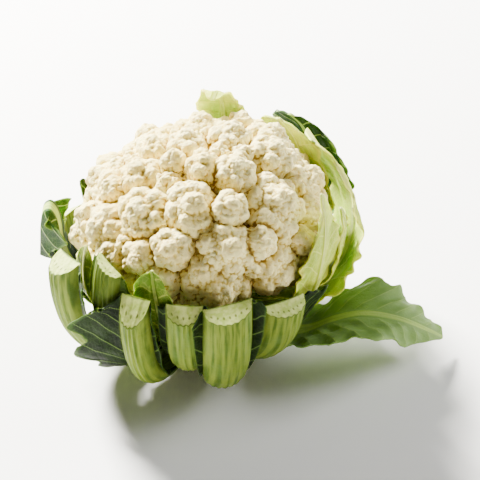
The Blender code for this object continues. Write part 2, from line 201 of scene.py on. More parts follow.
def small_floret_places(florets):
    """Small florets, a little sunk, for the hollows that the model's florets leave between them."""
    spots = spiral_over_dome(SMALL_CANDIDATES)
    places = np.array(spots)
    rooms = [np.linalg.norm(places - np.array(point), axis=1) - radius for point, radius in florets]
    room = np.min(rooms, axis=0)
    found = []
    while room.max() > SMALL_ROOM:
        spot = spots[int(room.argmax())]
        radius = min(max(float(room.max()) + SMALL_EXTRA, SMALL_RADII[0]), SMALL_RADII[1])
        found.append((spot - dome_normal(spot) * SMALL_SUNK, radius))
        room = np.minimum(room, np.linalg.norm(places - np.array(spot), axis=1) - SMALL_CLAIM * radius)
    return found


small_florets = small_floret_places(florets)
print(len(small_florets), "small florets between them")

# %% [markdown]
# ## Knobs, beads and buds
#
# A cauliflower looks alike at every scale. Each floret is a cluster of knobs as big as hazelnuts, each
# knob is a cluster of beads as big as peas, and each bead is covered with buds as big as mustard seeds.
# The knobs are laid in a ring round each floret's top, as in the model, and the beads follow a sunflower
# spiral over each knob, which spreads them evenly without rows. The buds come last, as a displacement.

# %% Knobs of a floret
KNOB_SIZE = 0.46
KNOB_SEAT = 0.68
KNOB_TILT = math.radians(57)
KNOB_RINGS = ((15 * MM, 6), (10.5 * MM, 5), (0, 3))
BASE_SIZE = 1.02
KNOB_SIZES = (0.88, 1.10)  # of the ring's knobs, as shares of the top one
TURN_BY = 0.16
TILT_BY = 0.08


def knob_places(point, radius, draw):
    """(centre, radius) of the floret's base, of the knob on its top and of the ring of knobs round that."""
    up = dome_normal(point)
    side = up.orthogonal().normalized()
    across = up.cross(side)
    base_radius = radius / (KNOB_SEAT + KNOB_SIZE)
    centre = point - up * radius
    turn = draw.uniform(0, math.tau)
    directions = [(0.0, 0.0, 1.0)]
    ring = next(count for smallest, count in KNOB_RINGS if radius > smallest)
    for i in range(ring):
        directions.append((turn + i * math.tau / ring, KNOB_TILT, draw.uniform(*KNOB_SIZES)))
    knobs = [(centre, base_radius * BASE_SIZE)]
    for around, tilt, size in directions:
        around += draw.uniform(-TURN_BY, TURN_BY)
        tilt += draw.uniform(-TILT_BY, TILT_BY)
        level = side * math.cos(around) + across * math.sin(around)
        outwards = up * math.cos(tilt) + level * math.sin(tilt)
        knobs.append((centre + outwards * base_radius * KNOB_SEAT, base_radius * KNOB_SIZE * size))
    return knobs


# %% Beads on a knob
BEAD_RADIUS = 4.0 * MM
BEAD_COVER = 0.80  # share of the knob that the beads would cover if they lay flat
BEAD_PROUD = 0.36  # share of a bead's radius that stands out of its knob
KNOB_SHRINK = 0.93  # room left for the beads, so the floret keeps its size
BEAD_LARGEST = 0.44  # share of the knob's radius
BEAD_SIZES = (0.66, 1.22)
BURIED = 0.84  # a bead nearer than this share of another knob's radius is left out


def beads_on(knob, others, up, draw):
    """Balls spread over one knob in a spiral, left out where another knob covers them."""
    centre, radius = knob
    inner = radius * KNOB_SHRINK
    usual = min(BEAD_RADIUS, BEAD_LARGEST * radius)
    axis = (up + Vector([draw.uniform(-0.3, 0.3) for _ in range(3)])).normalized()
    side = axis.orthogonal().normalized()
    across = axis.cross(side)
    count = round(BEAD_COVER * 4 * (radius / usual) ** 2)
    beads = []
    for i in range(count):
        height = 1 - 2 * (i + 0.5) / count
        around = i * GOLDEN_ANGLE + draw.uniform(-0.12, 0.12)
        flat = math.sqrt(1 - height * height)
        outwards = axis * height + (side * math.cos(around) + across * math.sin(around)) * flat
        size = usual * draw.uniform(*BEAD_SIZES)
        place = centre + outwards * (inner - size * (1 - BEAD_PROUD))
        hidden = any((place - c).length < r * BURIED for c, r in others)
        if outwards.dot(up) > -0.5 and not hidden:
            beads.append((place, size))
    return beads


# %% [markdown]
# ## One skin over thousands of balls
#
# The balls of each part of the dome are joined and given one skin with a voxel remesh, which melts them
# together the way the curd's tissue does. A little smoothing takes the voxel steps away, a Displace
# modifier with a cell pattern raises the buds, and the seams between florets are pressed in. The dome is
# made in seven pieces, a crown and six sides, which keeps every mesh light enough to work with.


# %% Many balls as one mesh
def ball_pattern(rings):
    """Vertex places and triangles of a ball of radius 1."""
    bpy.ops.object.select_all(action="DESELECT")
    bpy.ops.mesh.primitive_ico_sphere_add(subdivisions=rings, radius=1)
    ball = bpy.context.object
    points = np.array([v.co for v in ball.data.vertices])
    faces = np.array([p.vertices for p in ball.data.polygons])
    bpy.data.objects.remove(ball, do_unlink=True)
    return points, faces


def mesh_of_balls(name, balls, pattern):
    """An object that holds a copy of the pattern at each ball's place and size."""
    points, faces = pattern
    places = np.array([[*centre, radius] for centre, radius in balls])
    all_points = places[:, None, :3] + points[None] * places[:, None, 3:]
    all_faces = faces[None] + (np.arange(len(balls)) * len(points))[:, None, None]
    mesh = bpy.data.meshes.new(name)
    mesh.from_pydata(all_points.reshape(-1, 3), [], all_faces.reshape(-1, 3).tolist())
    made = bpy.data.objects.new(name, mesh)
    bpy.context.scene.collection.objects.link(made)
    return made


def apply_modifier(piece, kind, **settings):
    """Adds one modifier to a piece, sets it and applies it."""
    modifier = piece.modifiers.new(kind.title(), kind)
    for name, value in settings.items():
        setattr(modifier, name, value)
    bpy.context.view_layer.objects.active = piece
    bpy.ops.object.modifier_apply(modifier=modifier.name)


def join_pieces(first, *others):
    """Joins other pieces into the first."""
    bpy.ops.object.select_all(action="DESELECT")
    for piece in (first, *others):
        piece.select_set(True)
    bpy.context.view_layer.objects.active = first
    bpy.ops.object.join()
    return first


# %% How hollow each point is
def step_up(value, low, high):
    """0 below low, 1 above high, and smooth between."""
    t = np.clip((value - low) / (high - low), 0, 1)
    return t * t * (3 - 2 * t)


def read_vectors(mesh, name):
    values = np.empty(len(mesh.vertices) * 3, np.float32)
    mesh.vertices.foreach_get(name, values)
    return values.reshape(-1, 3).astype(float)


def creases(mesh, steps):
    """How far smoothing would lift each vertex: above 0 in creases and below 0 on bulges."""
    count = len(mesh.vertices)
    places = read_vectors(mesh, "co")
    edges = np.empty(len(mesh.edges) * 2, np.int32)
    mesh.edges.foreach_get("vertices", edges)
    start, end = edges.reshape(-1, 2).T
    neighbours = np.bincount(start, minlength=count) + np.bincount(end, minlength=count)
    smooth = places.copy()
    for _ in range(steps):
        total = np.empty_like(smooth)
        for i in range(3):
            total[:, i] = np.bincount(start, smooth[end, i], count)
            total[:, i] += np.bincount(end, smooth[start, i], count)
        smooth = 0.4 * smooth + 0.6 * total / neighbours[:, None]
    return ((smooth - places) * read_vectors(mesh, "normal")).sum(1)


def depth_below_dome(places):
    """How far inside the dome each place is."""
    x, y, z = places.T
    rise = CURD_RISE * (1 + CURD_SKEW * x / CURD_RADIUS)
    level = np.sqrt((x * x + y * y) / CURD_RADIUS**2 + ((z - CURD_LEVEL) / rise) ** 2)
    return (1 - level) * 0.85 * CURD_RADIUS


SEAM_DEPTH = 2.4 * MM
FINE_CREASE = 0.16 * MM
BROAD_CREASE = 0.9 * MM


def seams(places):
    """1 where a place lies as close to one floret as to the next, and 0 in the middle of a floret."""
    nearest = np.full(len(places), np.inf)
    second = nearest.copy()
    for point, radius in florets:
        centre = np.array(point - dome_normal(point) * radius)
        level = np.linalg.norm(places - centre, axis=1) / radius
        second = np.minimum(second, np.maximum(nearest, level))
        nearest = np.minimum(nearest, level)
    return 1 - step_up(second - nearest, -0.08, 0.30)


def store_values(mesh, name, values, domain="POINT"):
    attribute = mesh.attributes.new(name, "FLOAT", domain)
    attribute.data.foreach_set("value", np.asarray(values, np.float32))


def store_hollows(mesh):
    """Stores 0 on bulges and 1 deep in creases, from small creases, broad ones and the depth of the spot."""
    fine = np.clip(creases(mesh, 8) / FINE_CREASE, -1, 1)
    broad = np.clip(creases(mesh, 60) / BROAD_CREASE, -1, 1)
    places = read_vectors(mesh, "co")
    deep = step_up(depth_below_dome(places), 4 * MM, 14 * MM)
    # Painted shade: this value is high in creases, at the seams between florets and deep in the dome. The
    # curd material paints those places yellower and darker.
    hollow = 0.27 + 0.34 * fine + 0.28 * broad + 0.24 * deep + 0.06 * seams(places)
    store_values(mesh, "hollow", np.clip(hollow, 0, 1))


# %% Make the florets
CURD_VOXEL = 0.62 * MM
BUD_WIDTH = 2.2 * MM
BUD_HEIGHT = 1.1 * MM
ZONES = ("crown", "right", "back_right", "back_left", "left", "front_left", "front_right")
CROWN_HEIGHT = 131 * MM

knob_pattern = ball_pattern(3)
bead_pattern = ball_pattern(2)
buds = bpy.data.textures.new("buds", "VORONOI")
buds.distance_metric = "DISTANCE_SQUARED"
buds.noise_scale = BUD_WIDTH


def zone_of(point):
    if point.z > CROWN_HEIGHT:
        return "crown"
    sector = round(math.degrees(math.atan2(point.y, point.x)) / 60) % 6
    return ZONES[1 + sector]


def set_mode(mode):
    bpy.ops.object.mode_set(mode=mode)


def drop_pockets(piece):
    """Keeps the shell of the outermost vertex. Any others are closed pockets inside it."""
    outermost = int((read_vectors(piece.data, "co") ** 2).sum(1).argmax())
    bpy.context.view_layer.objects.active = piece
    set_mode("EDIT")
    bpy.ops.mesh.select_all(action="DESELECT")
    set_mode("OBJECT")
    piece.data.vertices[outermost].select = True
    set_mode("EDIT")
    bpy.ops.mesh.select_linked()
    bpy.ops.mesh.select_all(action="INVERT")
    bpy.ops.mesh.delete(type="VERT")
    set_mode("OBJECT")


def skin_over(piece, voxel):
    """One budded skin over all the balls of a piece."""
    apply_modifier(piece, "REMESH", mode="VOXEL", voxel_size=voxel)
    drop_pockets(piece)
    apply_modifier(piece, "SMOOTH", factor=0.5, iterations=2)
    settings = {"texture": buds, "texture_coords": "LOCAL", "strength": -BUD_HEIGHT, "mid_level": 0.35}
    apply_modifier(piece, "DISPLACE", **settings)
    places = read_vectors(piece.data, "co")
    outwards = places / CURD_RADIUS**2
    outwards[:, 2] = (places[:, 2] - CURD_LEVEL) / CURD_RISE**2
    outwards /= np.linalg.norm(outwards, axis=1)[:, None]
    places -= outwards * (SEAM_DEPTH * seams(places))[:, None]
    piece.data.vertices.foreach_set("co", places.astype(np.float32).ravel())
    store_hollows(piece.data)
    bpy.ops.object.select_all(action="DESELECT")
    piece.select_set(True)
    bpy.ops.object.shade_smooth()


balls = {zone: ([], []) for zone in ZONES}
for number, (point, radius) in enumerate(florets + small_florets):
    draw = random.Random(number)
    knobs = knob_places(point, radius, draw)
    large, small = balls[zone_of(point)]
    large += [(centre, size * KNOB_SHRINK) for centre, size in knobs]
    for i, knob in enumerate(knobs):
        small += beads_on(knob, knobs[:i] + knobs[i + 1 :], dome_normal(point), draw)

curd_pieces = []
for zone, (large, small) in balls.items():
    piece = join_pieces(
        mesh_of_balls(f"curd_{zone}", large, knob_pattern),
        mesh_of_balls(f"beads_{zone}", small, bead_pattern),
    )
    skin_over(piece, CURD_VOXEL)
    curd_pieces.append(piece)
    print(piece.name, len(large), "knobs,", len(small), "beads,", 2 * len(piece.data.polygons), "triangles")

# %% [markdown]
# ## The heart and the branches
#
# The florets sit on branches that spread from the stem, and the gaps between them look down on smaller
# buds. The heart is a flattened ball with beads all over its upper side. Tapered cones run from low in
# the head to each floret, and show from below, between the leaves. They all get one skin too.

# %% Heart and branches
HEART_CENTRE = np.array((0, 0, 86 * MM))
HEART_SIZE = np.array((64 * MM, 64 * MM, 41 * MM))
HEART_BEADS = 1300
HEART_BEAD_SIZES = (0.5, 0.9)
HEART_COVER = 1.35  # 2 would cover the underside too
HEART_VOXEL = 1.0 * MM
BRANCH_FOOT = Vector((0, 0, 50 * MM))
LOWEST_BRANCH = 47 * MM
BRANCH_WIDTHS = (0.34, 0.62)  # at the foot and the floret, as shares of the floret's radius

bpy.ops.object.select_all(action="DESELECT")
bpy.ops.mesh.primitive_uv_sphere_add(
    segments=48, ring_count=24, radius=1, location=HEART_CENTRE, scale=HEART_SIZE
)
heart = bpy.context.object
heart.name = "curd_heart"
branches = []
for point, radius in florets:
    top = point - dome_normal(point) * radius * 0.9
    foot = BRANCH_FOOT.lerp(top, 0.4)
    foot.z = max(foot.z, LOWEST_BRANCH)
    bpy.ops.mesh.primitive_cone_add(
        vertices=16, radius1=BRANCH_WIDTHS[0] * radius, radius2=BRANCH_WIDTHS[1] * radius,
        depth=(top - foot).length, location=(top + foot) / 2,
        rotation=(top - foot).to_track_quat("Z", "Y").to_euler(),
    )
    branches.append(bpy.context.object)
join_pieces(heart, *branches)
bpy.ops.object.transform_apply(location=True, rotation=True, scale=True)
draw = random.Random(len(florets))
heart_beads = []
for i in range(HEART_BEADS):
    height = 1 - HEART_COVER * (i + 0.5) / HEART_BEADS
    flat = math.sqrt(1 - height * height)
    outwards = np.array((flat * math.cos(i * GOLDEN_ANGLE), flat * math.sin(i * GOLDEN_ANGLE), height))
    heart_beads.append((HEART_CENTRE + outwards * HEART_SIZE, BEAD_RADIUS * draw.uniform(*HEART_BEAD_SIZES)))
join_pieces(heart, mesh_of_balls("beads_heart", heart_beads, bead_pattern))
skin_over(heart, HEART_VOXEL)
curd_pieces.append(heart)
print("heart and branches", 2 * len(heart.data.polygons), "triangles")

# %% [markdown]
# ## Curd material
#
# The curd is creamy white and a little translucent, so light that enters a knob comes out soft beside it.
# Painted shade makes it warmer and darker in the creases, at the seams and deep in the dome, while the
# bulges stay pale, and its own tone drifts a little from place to place. The hollow value stored on every
# vertex drives that painted shade, and a fine cell pattern in the bump gives the grain of the single buds,
# which is finer than the mesh.


# %% Small helpers for node trees
def add_node(tree, kind, **settings):
    node = tree.nodes.new(kind)
    for name, value in settings.items():
        setattr(node, name, value)
    return node


def feed(tree, socket, value):
    """Sets an input: a value stays a value, and another node's socket becomes a link."""
    if isinstance(value, bpy.types.NodeSocket):
        tree.links.new(value, socket)
    else:
        socket.default_value = value


def plug(tree, target, **inputs):
    """Sets a node's inputs by name."""
    for name, value in inputs.items():
        feed(tree, target.inputs[name.replace("_", " ")], value)


def mixed(tree, share, first, second, blend="MIX"):
    """A colour between two others."""
    node = add_node(tree, "ShaderNodeMix", data_type="RGBA", blend_type=blend)
    for index, value in ((0, share), (6, first), (7, second)):
        feed(tree, node.inputs[index], value)
    return node.outputs[2]


def ranged(tree, value, low, high, to_low=0.0, to_high=1.0):
    """A value moved smoothly from one range to another, and kept inside it."""
    node = add_node(tree, "ShaderNodeMapRange", interpolation_type="SMOOTHSTEP")
    plug(tree, node, Value=value, From_Min=low, From_Max=high, To_Min=to_low, To_Max=to_high)
    return node.outputs["Result"]


def noise(tree, vector, scale, detail=3.0):
    node = add_node(tree, "ShaderNodeTexNoise")
    plug(tree, node, Vector=vector, Scale=scale, Detail=detail, Roughness=0.55)
    return node.outputs["Fac"]


def attribute(tree, name):
    return add_node(tree, "ShaderNodeAttribute", attribute_name=name).outputs["Fac"]


def new_material(name):
    """A material, its node tree and its Principled shader."""
    made = bpy.data.materials.new(name)
    made.use_nodes = True
    return made, made.node_tree, made.node_tree.nodes["Principled BSDF"]


def wear_material(piece, material):
    """The piece's only material."""
    piece.data.materials.clear()
    piece.data.materials.append(material)


# %% Curd
CURD_PALE = (0.93, 0.82, 0.37, 1)
# The yellow serves both the curd's own drifting tone and the painted shade in the hollows. The darkest
# colour is only painted shade, for the deepest creases.
CURD_YELLOW_TONE_AND_SHADE = (0.74, 0.56, 0.12, 1)
CURD_PAINTED_CREASE_SHADE = (0.30, 0.18, 0.028, 1)
CURD_UNDERSIDE = (0.56, 0.62, 0.32, 1)

curd_skin, tree, shader = new_material("curd")
where = add_node(tree, "ShaderNodeTexCoord").outputs["Object"]
height = add_node(tree, "ShaderNodeSeparateXYZ")
tree.links.new(where, height.inputs["Vector"])
hollow = attribute(tree, "hollow")
tone = mixed(tree, ranged(tree, noise(tree, where, 34), 0.40, 0.68, 0.0, 0.45), CURD_PALE, CURD_YELLOW_TONE_AND_SHADE)
# Painted shade: where the hollow value is high, the colour is painted yellower and then darker.
tone = mixed(tree, ranged(tree, hollow, 0.24, 0.60, 0.0, 0.85), tone, CURD_YELLOW_TONE_AND_SHADE)
tone = mixed(tree, ranged(tree, hollow, 0.54, 1.0, 0.0, 0.9), tone, CURD_PAINTED_CREASE_SHADE)
tone = mixed(tree, ranged(tree, height.outputs["Z"], 0.052, 0.072, 0.85, 0.0), tone, CURD_UNDERSIDE)
speck = ranged(tree, noise(tree, where, 420, 2), 0.35, 0.75, 0.88, 1.05)
tone = mixed(tree, 1.0, tone, speck, "MULTIPLY")
grain = add_node(tree, "ShaderNodeTexVoronoi", feature="F1")
plug(tree, grain, Vector=where, Scale=1100.0, Randomness=0.9)
bump = add_node(tree, "ShaderNodeBump")
grain_height = ranged(tree, grain.outputs["Distance"], 0.0, 0.8, 1.0, 0.0)
plug(tree, bump, Strength=0.5, Distance=0.0005, Height=grain_height)
plug(tree, shader, Base_Color=tone, Normal=bump.outputs["Normal"])
plug(tree, shader, Roughness=0.68, Specular_IOR_Level=0.16, Subsurface_Weight=0.22)
plug(tree, shader, Subsurface_Radius=(1.0, 0.7, 0.3), Subsurface_Scale=0.0012)
for piece in curd_pieces:
    wear_material(piece, curd_skin)
    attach(piece, "root")
    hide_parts("curd")

# %% [markdown]
# ## Leaves
#
# Every leaf is one sheet that starts thick at its stalk and thins to a blade about a millimetre thick. A
# flat grid is extruded once, which gives it two faces and a rim, and then each vertex is moved to its
# place along the same curve that the model bends its leaves on. The move adds ribs along the stalk, side
# veins with puckers between them, waves and a toothed edge.

# %% The curves that the leaves follow: radius and height in mm
OUTER_BOWL = ((24.4, 12.5), (48, 13.5), (71, 24), (83, 42), (87.5, 60), (89, 76), (88, 94))
MIDDLE_BOWL = ((24.4, 23), (47, 24.5), (66, 33), (78.5, 49), (83.5, 65), (85.5, 82), (84, 104))
INNER_BOWL = (
    *((24.4, 32.5), (45, 33.5), (63, 41), (75.5, 55), (81, 70)),
    *((82, 84), (80, 99), (72.5, 115), (60, 127.5), (43, 137)),
)
TALL_STALK_BOWL = (*MIDDLE_BOWL[:5], (84.5, 80), (82.5, 94), (77.5, 107))
UPRIGHT_BOWL = (*INNER_BOWL[:5], (82.5, 84), (82.5, 98), (80.5, 112), (77, 125))
SECOND_PALE_BOWL = (*INNER_BOWL[:3], (76.5, 54.5), (84, 68), (86.5, 82), (86.5, 94), (84, 103))
HUGGING_BOWL = (*INNER_BOWL[:5], (82.5, 84), (81, 98), (77.5, 110), (71.5, 121))
HOOD_BOWL = (*INNER_BOWL[:7], (75.5, 115), (67.5, 129), (56, 138.5), (43, 141))
LIGHT_WRAPPER_BOWL = (*MIDDLE_BOWL[:3], (80.5, 46), (90, 58), (94.5, 72), (93.5, 87), (88, 101), (79, 112.5))
DARK_WRAPPER_BOWL = (*MIDDLE_BOWL[:4], (92, 58), (104, 70), (106, 84), (102, 98), (94, 109))
FOLD = ((84.5, 78), (86, 88), (89.5, 94), (93.8, 92), (96, 83), (97, 71), (98, 58))
RECURVED_BOWL = (*MIDDLE_BOWL[:5], *FOLD)
DRAPING_BOWL = ((24.4, 12.5), (48, 13.5), (70, 22), (88, 34), (106, 40), (126, 35), (142, 22), (153, 8))
BLADE_THICKNESS = 1.1 * MM


def smooth_through(values, share):
    """Values at shares of the way along a smooth curve through evenly spaced values."""
    values = np.asarray(values, float)
    ends = np.concatenate([2 * values[:1] - values[1:2], values, 2 * values[-1:] - values[-2:-1]])
    at = np.clip(share, 0, 1) * (len(values) - 1)
    i = np.minimum(at.astype(int), len(values) - 2)
    t = at - i
    before, start, end, after = ends[i], ends[i + 1], ends[i + 2], ends[i + 3]
    bend = (2 * before - 5 * start + 4 * end - after) * t**2 + (3 * start - before - 3 * end + after) * t**3
    return start + 0.5 * ((end - before) * t + bend)


def bowl_curve(bowl):
    """Evenly spaced points along a bowl's curve, the unit tangents there, and its length."""
    points = np.array(bowl) * MM
    fine = np.linspace(0, 1, 24 * (len(points) - 1) + 1)
    line = np.stack([smooth_through(points[:, i], fine) for i in (0, 1)], axis=1)
    lengths = np.concatenate([[0], np.cumsum(np.linalg.norm(np.diff(line, axis=0), axis=1))])
    even = np.linspace(0, lengths[-1], 400)
    line = np.stack([np.interp(even, lengths, line[:, i]) for i in (0, 1)], axis=1)
    tangent = np.gradient(line, axis=0)
    return line, tangent / np.linalg.norm(tangent, axis=1)[:, None], lengths[-1]


# %% The leaves of the model
LEAF_DEFAULTS = dict(
    reach=1.0, lean=0.0, lopsided=0.0, tint=0.0, kind="cut_leaf", stalk_width=(12.5, 22, 26, 27),
    stalk_depth=(9.5, 10, 10.5, 10.5), blade_width=(12.5, 23, 37, 44), flare=0.0, wave=0.0, waves=2.0,
    notch=0.0, phase=0.0, flatness=0.0, droop=0.0, round_tip=0.0, cut_slope=0.0, cut_slant=0.0,
    wing_drop=0.0, strip=1 / 6, torn=0.0, pucker=0.5, crinkle=0.7, teeth=0.03, frill=0.0,
)


def leaf_settings(name, azimuth, bowl, **changes):
    return {**LEAF_DEFAULTS, "name": name, "azimuth": azimuth, "bowl": bowl, **changes}


def stub(number, azimuth, bowl, reach, **changes):
    """A leaf cut to its stalk, with a strip of blade left along each side."""
    settings = dict(phase=0.7 * number, cut_slope=0.5, flatness=0.6, torn=1.2)
    if bowl is OUTER_BOWL:
        settings |= dict(stalk_depth=(9.5, 10.5, 12, 12.5), flare=0.42, wave=1.6)
    else:
        settings |= dict(stalk_depth=(9.5, 10, 10, 9.5), wave=0.6)
    return leaf_settings(f"cut_leaf_{number:02d}", azimuth, bowl, reach=reach, **(settings | changes))


def inner_leaf(number, azimuth, reach, half_width, bowl=INNER_BOWL, end=0.3, **changes):
    """A thin leaf of the inner whorl, with a slim midrib."""
    widest = 2 * half_width
    settings = dict(
        stalk_width=(12, 14, 10, 6, 4, 3), stalk_depth=(7.5, 6.0, 2.6, 2.2, 1.8, 1.2),
        blade_width=(12, 0.55 * widest, 0.9 * widest, widest, 0.9 * widest, end * widest),
        wave=0.8, waves=2.5, notch=0.10, phase=1.3 * number, round_tip=0.10, pucker=0.8, crinkle=1.4,
        frill=0.8, kind="inner_leaf",
    )
    return leaf_settings(f"inner_leaf_{number:02d}", azimuth, bowl, reach=reach, **(settings | changes))


def whole_leaf(name, azimuth, bowl, **changes):
    """An outer leaf that was left whole."""
    settings = {"round_tip": 0.10, "frill": 0.6, "kind": "outer_leaf"}
    return leaf_settings(name, azimuth, bowl, **(settings | changes))


LEAVES = (
    stub(
        1, 212, OUTER_BOWL, 0.98, cut_slope=0.7, cut_slant=-0.2, lopsided=-0.5,
        stalk_width=(12.5, 21, 24, 24), blade_width=(12.5, 24, 44, 48),
    ),
    stub(
        2, 247, OUTER_BOWL, 0.96, cut_slope=1.2, lopsided=0.75, notch=0.3, flatness=2.5, strip=1 / 8,
        teeth=0.06, stalk_width=(12.5, 18, 18, 17), blade_width=(12.5, 26, 50, 56, 36),
    ),
    stub(3, 281, OUTER_BOWL, 0.95, stalk_width=(12.5, 22, 28, 28), cut_slant=-0.15, wing_drop=0.2),
    stub(4, 22, OUTER_BOWL, 0.56, cut_slant=0.2),
    stub(5, 64, OUTER_BOWL, 0.66, cut_slant=-0.2),
    stub(6, 112, OUTER_BOWL, 0.80, cut_slant=0.3),
    stub(7, 157, OUTER_BOWL, 0.76, cut_slant=-0.2, wing_drop=0.2),
    stub(
        8, 232, TALL_STALK_BOWL, 0.93, wave=0.0, cut_slant=0.4, wing_drop=0.5, lopsided=-0.5, tint=0.9,
        stalk_width=(12.5, 18, 20, 18), stalk_depth=(9.5, 10, 8.5, 7), blade_width=(12.5, 24, 36, 34),
    ),
    stub(
        9, 265, MIDDLE_BOWL, 0.85, cut_slope=0.9,
        stalk_width=(12.5, 20, 22, 21), blade_width=(12.5, 22, 30, 31),
    ),
    stub(
        10, 305, MIDDLE_BOWL, 0.775, cut_slope=0.6, cut_slant=0.12, lopsided=-0.55,
        stalk_width=(12.5, 22, 28, 29), blade_width=(12.5, 24, 44, 56),
    ),
    stub(11, 88, MIDDLE_BOWL, 0.84, cut_slant=0.25),
    stub(12, 135, MIDDLE_BOWL, 0.76, cut_slant=-0.3),
    whole_leaf(
        "recurved_leaf", 180, RECURVED_BOWL, wave=1.0, waves=3, notch=0.12, droop=0.7, round_tip=0.06,
        stalk_width=(12.5, 20, 20, 16, 10, 6), stalk_depth=(9.5, 10, 8, 4.5, 3, 1.8),
        blade_width=(12.5, 27, 42, 42, 30, 23, 25, 44, 32),
    ),
    whole_leaf(
        "draping_leaf", 334, DRAPING_BOWL, reach=0.975, lean=17, flare=-0.16, wave=3.4, waves=2.6,
        notch=0.18, flatness=3.0, round_tip=0.03, pucker=1.1, crinkle=1.6, tint=0.9,
        stalk_width=(12.5, 20, 16, 11, 8, 6, 4), stalk_depth=(9.5, 9, 7, 5, 3.6, 2.6, 1.5),
        blade_width=(12.5, 24, 48, 64, 64, 44, 12),
    ),
    whole_leaf(
        "light_wrapper_leaf", 352, LIGHT_WRAPPER_BOWL, lean=40, wave=1.2, waves=3, notch=0.07,
        pucker=1.0, crinkle=1.7, frill=1.3, kind="wrapper_leaf",
        stalk_width=(12.5, 22, 24, 16, 10, 7, 4), stalk_depth=(9.5, 9.5, 8.5, 5, 3.4, 2.6, 1.5),
        blade_width=(12.5, 23, 36, 64, 78, 76, 44),
    ),
    whole_leaf(
        "dark_wrapper_leaf", 42, DARK_WRAPPER_BOWL, lean=12, wave=1.6, waves=4, notch=0.12, phase=1.5,
        pucker=1.0, crinkle=1.4,
        stalk_width=(12.5, 22, 22, 14, 9, 6, 4), stalk_depth=(9.5, 9.5, 8, 4.6, 3.2, 2.4, 1.4),
        blade_width=(12.5, 23, 28, 52, 78, 78, 40),
    ),
    inner_leaf(1, 323, 1.0, 25, UPRIGHT_BOWL, lean=13, wave=0.4, blade_width=(12.5, 17, 25, 42, 50, 40, 9)),
    inner_leaf(2, 354, 1.0, 18, SECOND_PALE_BOWL, lean=-4, wave=0.3, blade_width=(12, 17, 28, 36, 32, 11)),
    inner_leaf(
        3, 80, 1.0, 19, HOOD_BOWL, droop=-0.28, round_tip=0.05, crinkle=1.8,
        blade_width=(12, 21, 34, 38, 35, 31, 13),
    ),
    inner_leaf(4, 130, 0.54, 18, lean=6, tint=0.4),
    inner_leaf(5, 164, 0.46, 15, tint=0.6),
    inner_leaf(6, 216.5, 0.66, 17, end=0.5, wave=0.1, tint=0.65, crinkle=1.2),
    inner_leaf(7, 259, 0.68, 18, lean=-8, end=0.6, tint=1.0),
    inner_leaf(8, 30, 1.0, 31, HUGGING_BOWL, lean=18, wave=0.4, end=0.75, lopsided=0.12),
)


# %% Ribs, veins and puckers
RIBS = 7
RIB_DEPTH = 0.7 * MM
VEIN_SPACING = 12 * MM
VEIN_SLOPE = 0.85
VEIN_HEIGHT = 0.5 * MM
VEIN_WANDER = (0.10, 0.08)  # along the leaf and away from the stalk, as shares of the spacing
WANDER_LENGTHS = (9 * MM, 6 * MM)
VEIN_SHIFT = 3 * MM  # how much further along the veins of the right side leave the stalk


def vein_phase(along, beside):
    """How many side veins lie below a point, counted along the stalk. Whole numbers are on a vein."""
    wander = VEIN_WANDER[0] * np.sin(along / WANDER_LENGTHS[0])
    wander = wander + VEIN_WANDER[1] * np.sin(beside / WANDER_LENGTHS[1] + 2)
    return (along - VEIN_SLOPE * beside) / VEIN_SPACING + wander


def relief(leaf, along, across, stalk, inside_stalk, outer):
    """How far ribs, veins and puckers move a point off the plain sheet."""
    drift = 0.35 * np.sin(along / (23 * MM) + leaf["azimuth"])
    ribs = RIB_DEPTH * (np.cos(math.pi * RIBS * across / stalk + drift) - 1) / 2 * outer
    beside = np.maximum(np.abs(across) - stalk, 0)
    phase = vein_phase(along + VEIN_SHIFT * (across > 0), beside)
    off_vein = np.abs(phase - np.round(phase)) * 2
    pucker = leaf["pucker"] * MM * (off_vein**0.7 - 0.5) * step_up(beside, 0, 5 * MM)
    ridge = VEIN_HEIGHT * np.exp(-((off_vein / 0.12) ** 2)) * np.where(outer, 1, -0.4)
    along, beside = along / (11 * MM), beside * np.sign(across) / (9 * MM)
    seed = leaf["phase"] + leaf["azimuth"]
    folds = np.sin(along + 1.7 * np.sin(beside + seed)) * np.sin(1.3 * beside - 0.6 * along + seed)
    small = np.sin(2.9 * along + 2.1 * np.sin(1.7 * beside) + seed) * np.sin(2.3 * beside + seed)
    crinkle = leaf["crinkle"] * MM * (folds + 0.4 * small) * step_up(np.abs(beside), 0, 1.1)
    return np.where(inside_stalk, ribs, pucker + ridge * step_up(np.abs(beside), 0, 0.1) + crinkle)


